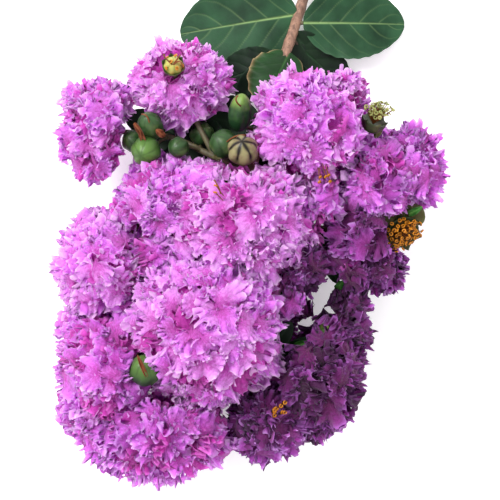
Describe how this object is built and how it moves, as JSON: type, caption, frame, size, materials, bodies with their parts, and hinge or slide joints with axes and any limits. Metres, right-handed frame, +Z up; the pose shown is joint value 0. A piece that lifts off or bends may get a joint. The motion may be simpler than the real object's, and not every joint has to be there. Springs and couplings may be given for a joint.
{
  "type": "cut crape myrtle branch",
  "caption": "Cut flowering branch of a crape myrtle: crinkled lilac-pink blooms in a dense head, round green buds and broad glossy leaves on a brown stem, lying on its side.",
  "frame": {"origin": "on the surface that the branch lies on, under the middle of its footprint", "axes": "+Z up, out of the surface and towards the viewer; +Y along the branch from the flower head's tip to the cut end of the stem; +X to the viewer's right"},
  "size_m": [0.121, 0.1626, 0.0658],
  "materials": {
    "pale_petals": "matt, crinkled like crepe",
    "deep_petals": "matt, crinkled like crepe",
    "bark": "matt, fissured and rough",
    "green_wood": "matt",
    "leaf": "glossy above, with pale veins",
    "bud": "satin, with six ridges",
    "ripe_bud": "satin, with a dark star",
    "stamens": "matt, dusty with pollen"
  },
  "bodies": {
    "root": {"main_stem": "bark", "left_bough": "green_wood", "upper_left_bough": "green_wood", "right_bough": "green_wood", "right_lower_bough": "green_wood", "shoulder_bough": "green_wood", "flank_bough": "green_wood", "lower_right_bough": "green_wood", "leaf_large_left": "leaf", "leaf_large_right": "leaf", "leaf_small_folded": "leaf", "leaf_back_left": "leaf", "leaf_back_right": "leaf", "bloom_1_far_left": "pale_petals", "bloom_2_upper_left": "pale_petals", "bloom_3_upper_right": "pale_petals", "bloom_4_joint": "pale_petals", "bloom_5_far_right": "deep_petals", "bloom_6_right": "pale_petals", "bloom_7_bridge": "pale_petals", "bloom_8_shoulder": "pale_petals", "bloom_9_left": "pale_petals", "bloom_10_middle": "deep_petals", "bloom_11_flank": "pale_petals", "bloom_12_heart": "pale_petals", "bloom_13_tip": "pale_petals", "bloom_14_low": "deep_petals", "bloom_15_lower_right": "pale_petals", "bloom_16_heart": "pale_petals", "bloom_17_tip": "pale_petals", "bloom_18_lower_right": "pale_petals", "bloom_19_middle": "deep_petals", "bloom_20_left": "deep_petals", "bloom_21_upper_right": "pale_petals", "bloom_22_right": "pale_petals", "bloom_23_tip": "pale_petals", "bloom_24_flank": "deep_petals", "bloom_25_tip": "pale_petals", "bloom_26_lower_right": "pale_petals", "bloom_27_shoulder": "pale_petals", "bloom_28_lower_right": "deep_petals", "bloom_29_tip": "deep_petals", "bloom_30_bridge": "pale_petals", "bloom_31_upper_right": "deep_petals", "bloom_32_middle": "pale_petals", "bloom_33_heart": "deep_petals", "bloom_34_upper_left": "pale_petals", "bloom_35_upper_right": "pale_petals", "ripe_bud": "ripe_bud", "bud_beside_ripe": "bud", "bud_above_ripe": "bud", "bud_upper_left": "bud", "bud_lower_left": "bud", "bud_behind_left": "bud", "bud_back_pale": "bud", "bud_back_olive": "bud", "bud_in_recess": "bud", "stamens_upper_left": "stamens", "stamens_upper_right": "stamens", "stamens_right": "stamens"}
  },
  "joints": []
}
